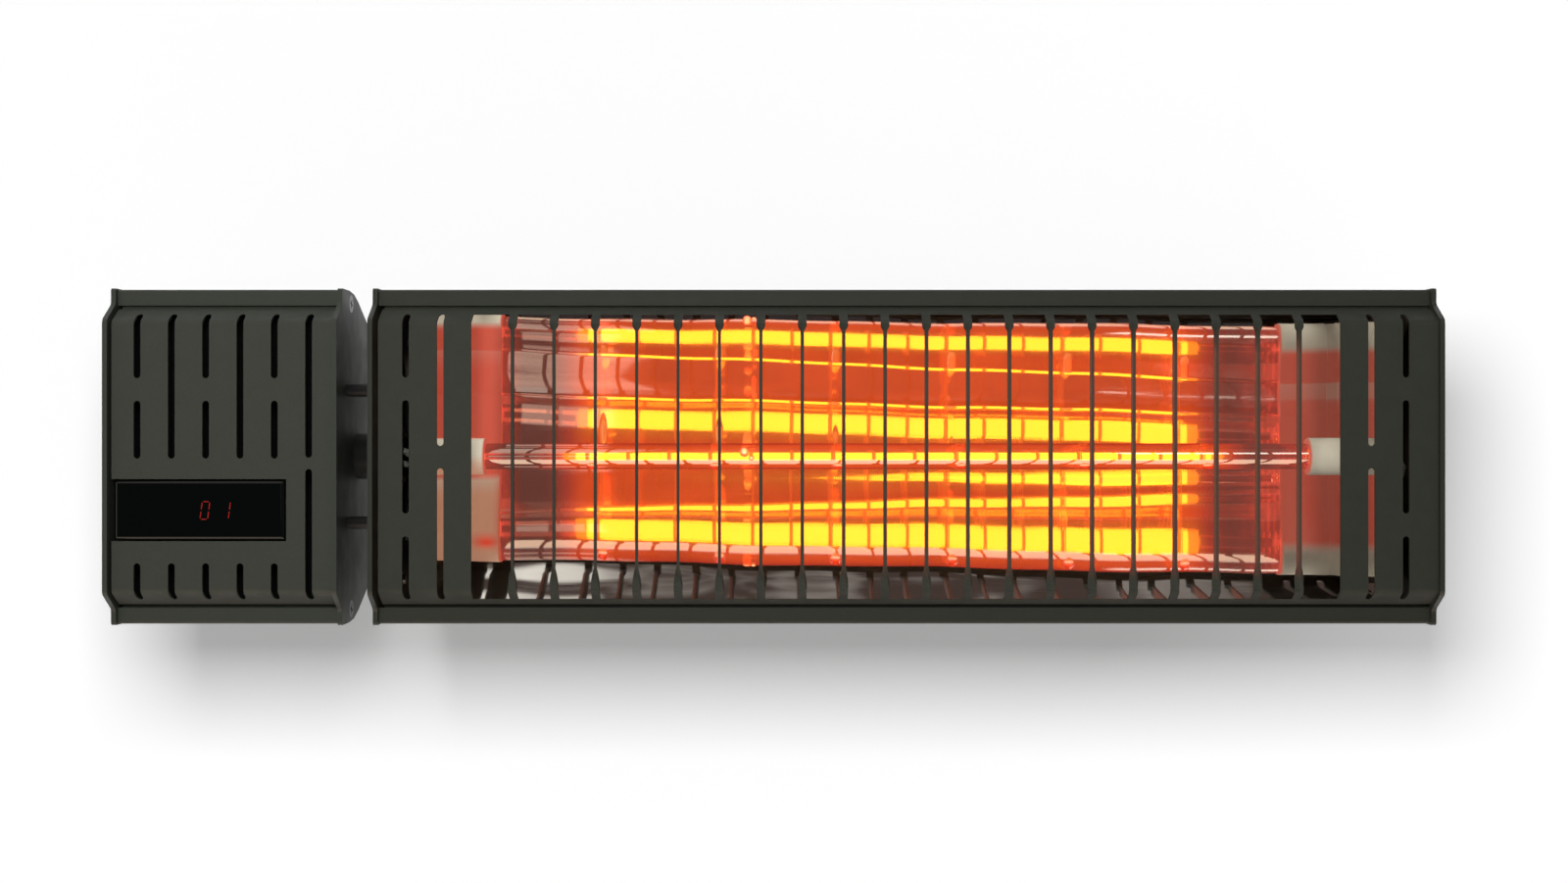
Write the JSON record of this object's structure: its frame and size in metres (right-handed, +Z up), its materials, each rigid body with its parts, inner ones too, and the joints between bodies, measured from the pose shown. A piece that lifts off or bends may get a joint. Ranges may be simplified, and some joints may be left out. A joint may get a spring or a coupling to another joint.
{
  "type": "electric bar heater",
  "caption": "Wall-mounted infrared bar heater: quartz lamp in a parabolic trough behind a guard of twisted bars, with a control box on its left and a tilting bracket.",
  "frame": {"origin": "on the wall plane, at the middle of the wall plate's back face, level with the pivot and the lamp", "axes": "+X along the heater, to the right as seen from the front; +Y into the wall; +Z up; the front faces -Y"},
  "size_m": [0.5465, 0.1267, 0.139],
  "materials": {
    "anthracite_aluminium": "matte anthracite powder coat on extruded aluminium",
    "anthracite_sheet": "matte anthracite powder coat on sheet steel",
    "polished_reflector": "mirror-polished aluminium sheet",
    "ruby_quartz": "clear ruby-tinted quartz",
    "hot_filament": "glowing tungsten coil",
    "support_wire": "fine tungsten wire, glowing dimly",
    "lamp_ceramic": "unglazed off-white",
    "wire_sleeve": "white glass-fibre and silicone sleeve",
    "brown_sleeve": "brown silicone sleeve",
    "display_black": "glossy black acrylic",
    "black_plastic": "black moulded nylon",
    "insulating_fibre": "black fibre sheet",
    "black_rubber": "soft black",
    "circuit_board": "green solder mask",
    "relay_blue": "moulded",
    "capacitor_yellow": "moulded",
    "transformer_core": "varnished laminations",
    "bare_aluminium": "as extruded",
    "terminal_plastic": "moulded",
    "zinc_steel": "bright zinc plate",
    "bracket_steel": "matte anthracite powder coat on steel",
    "nylon_white": "natural nylon"
  },
  "bodies": {
    "bracket": {"wall_bracket": "bracket_steel", "pivot_bolt": "zinc_steel", "pivot_washers": "zinc_steel", "friction_washers": "nylon_white", "pivot_nut": "zinc_steel"},
    "heater": {"heater_housing": "anthracite_aluminium", "heater_guard": "anthracite_sheet", "heater_cap_left": "anthracite_aluminium", "heater_cap_right": "anthracite_aluminium", "reflector": "polished_reflector", "reflector_end_left": "polished_reflector", "reflector_end_right": "polished_reflector", "lamp_tube": "ruby_quartz", "lamp_filament": "hot_filament", "filament_supports": "support_wire", "lamp_ceramic_left": "lamp_ceramic", "lamp_ceramic_right": "lamp_ceramic", "lamp_wire_left": "wire_sleeve", "lamp_wire_right": "wire_sleeve", "control_housing": "anthracite_aluminium", "control_panel": "anthracite_sheet", "control_cap_left": "anthracite_aluminium", "control_cap_right": "anthracite_aluminium", "display_window": "display_black", "display_housing": "black_plastic", "display_board": "circuit_board", "digit_module": "black_plastic", "insulating_sheet": "insulating_fibre", "power_board": "circuit_board", "board_standoffs": "zinc_steel", "relays": "relay_blue", "capacitor": "capacitor_yellow", "transformer": "transformer_core", "heatsink": "bare_aluminium", "terminal_block": "terminal_plastic", "mains_wires": "brown_sleeve", "cable_gland": "black_plastic", "gland_seal": "black_rubber", "gland_nut": "black_plastic", "gland_locknut": "black_plastic", "link_tube": "black_plastic", "link_locknuts": "zinc_steel", "link_spacers": "black_plastic", "link_screws": "zinc_steel", "link_nuts": "zinc_steel", "cap_screws": "zinc_steel", "heater_bracket": "bracket_steel", "bracket_bolts": "zinc_steel", "bracket_washers": "zinc_steel", "bracket_nuts": "zinc_steel", "pivot_spacer": "zinc_steel"}
  },
  "joints": [
    {"name": "tilt", "type": "hinge", "parent": "bracket", "child": "heater", "pos_m": [0, -0.028, 0], "axis": [1, 0, 0], "range_deg": [-45, 45]}
  ]
}
